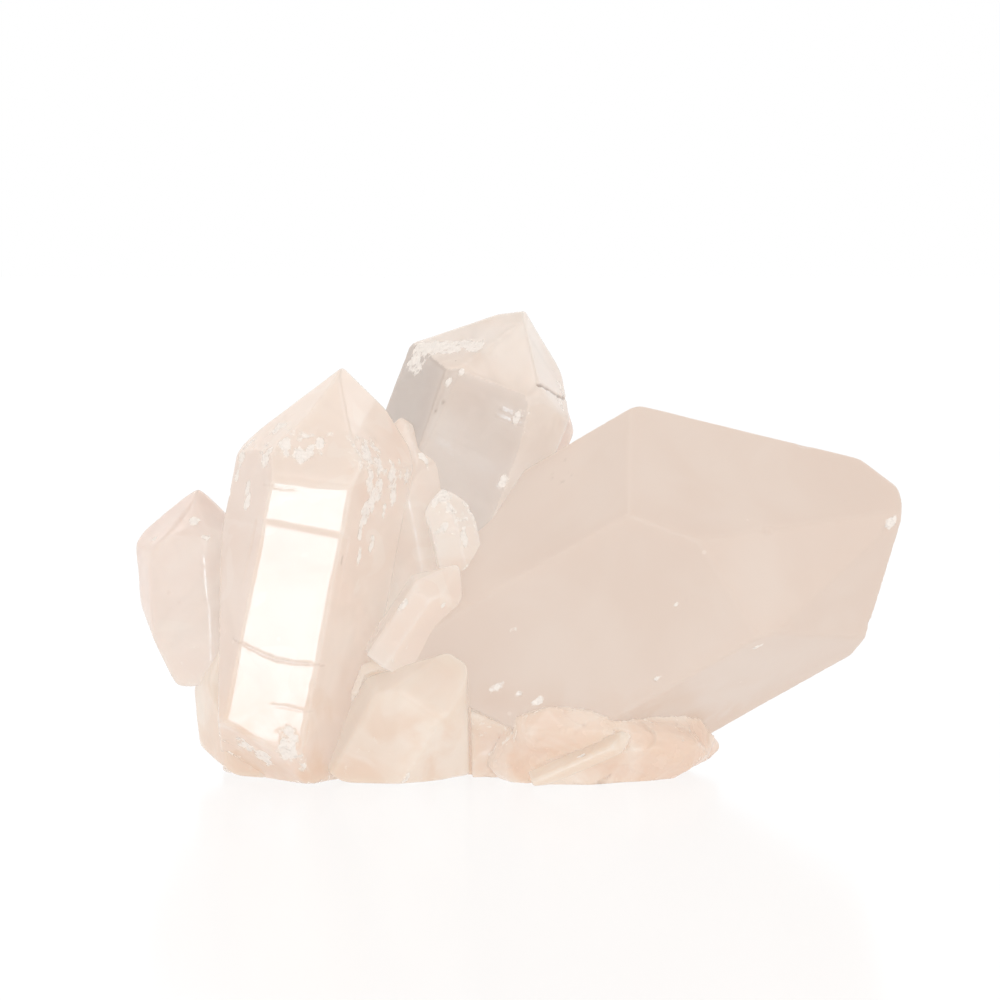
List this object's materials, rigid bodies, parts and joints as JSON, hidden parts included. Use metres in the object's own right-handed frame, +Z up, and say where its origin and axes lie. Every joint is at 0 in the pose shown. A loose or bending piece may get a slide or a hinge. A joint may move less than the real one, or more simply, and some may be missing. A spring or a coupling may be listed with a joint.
{
  "type": "quartz crystal cluster",
  "caption": "Hand-size cluster of milky, peach-coloured quartz crystals leaning out of a lump of massive quartz that rests on its flat underside.",
  "frame": {"origin": "on the ground, under the middle of the whole cluster", "axes": "+Z up; +X along the cluster's length, towards the tip of the largest crystal; -Y towards the front, where the tall crystal's flat face looks"},
  "size_m": [0.1004, 0.0416, 0.06],
  "materials": {
    "clear_quartz": "translucent peach quartz with glossy growth faces, faint growth lines and frosted, pitted patches",
    "milky_quartz": "milky, cloudy peach quartz with a soft satin surface and rounded edges",
    "grey_quartz": "glossy translucent quartz, greyer, with fractures and chipped silvery patches",
    "stained_quartz": "rough massive quartz, stained orange by iron, with sugary crumbs"
  },
  "bodies": {
    "root": {"tall_crystal": "clear_quartz", "large_crystal": "milky_quartz", "front_crystal": "clear_quartz", "small_inner_crystal": "clear_quartz", "shard_crystal": "clear_quartz", "left_foot_crystal": "milky_quartz", "back_crystal": "grey_quartz", "stub_crystal": "clear_quartz", "shoulder_crystal": "milky_quartz", "left_crystal": "grey_quartz", "back_twin_crystal": "grey_quartz", "matrix_base": "stained_quartz"}
  },
  "joints": []
}
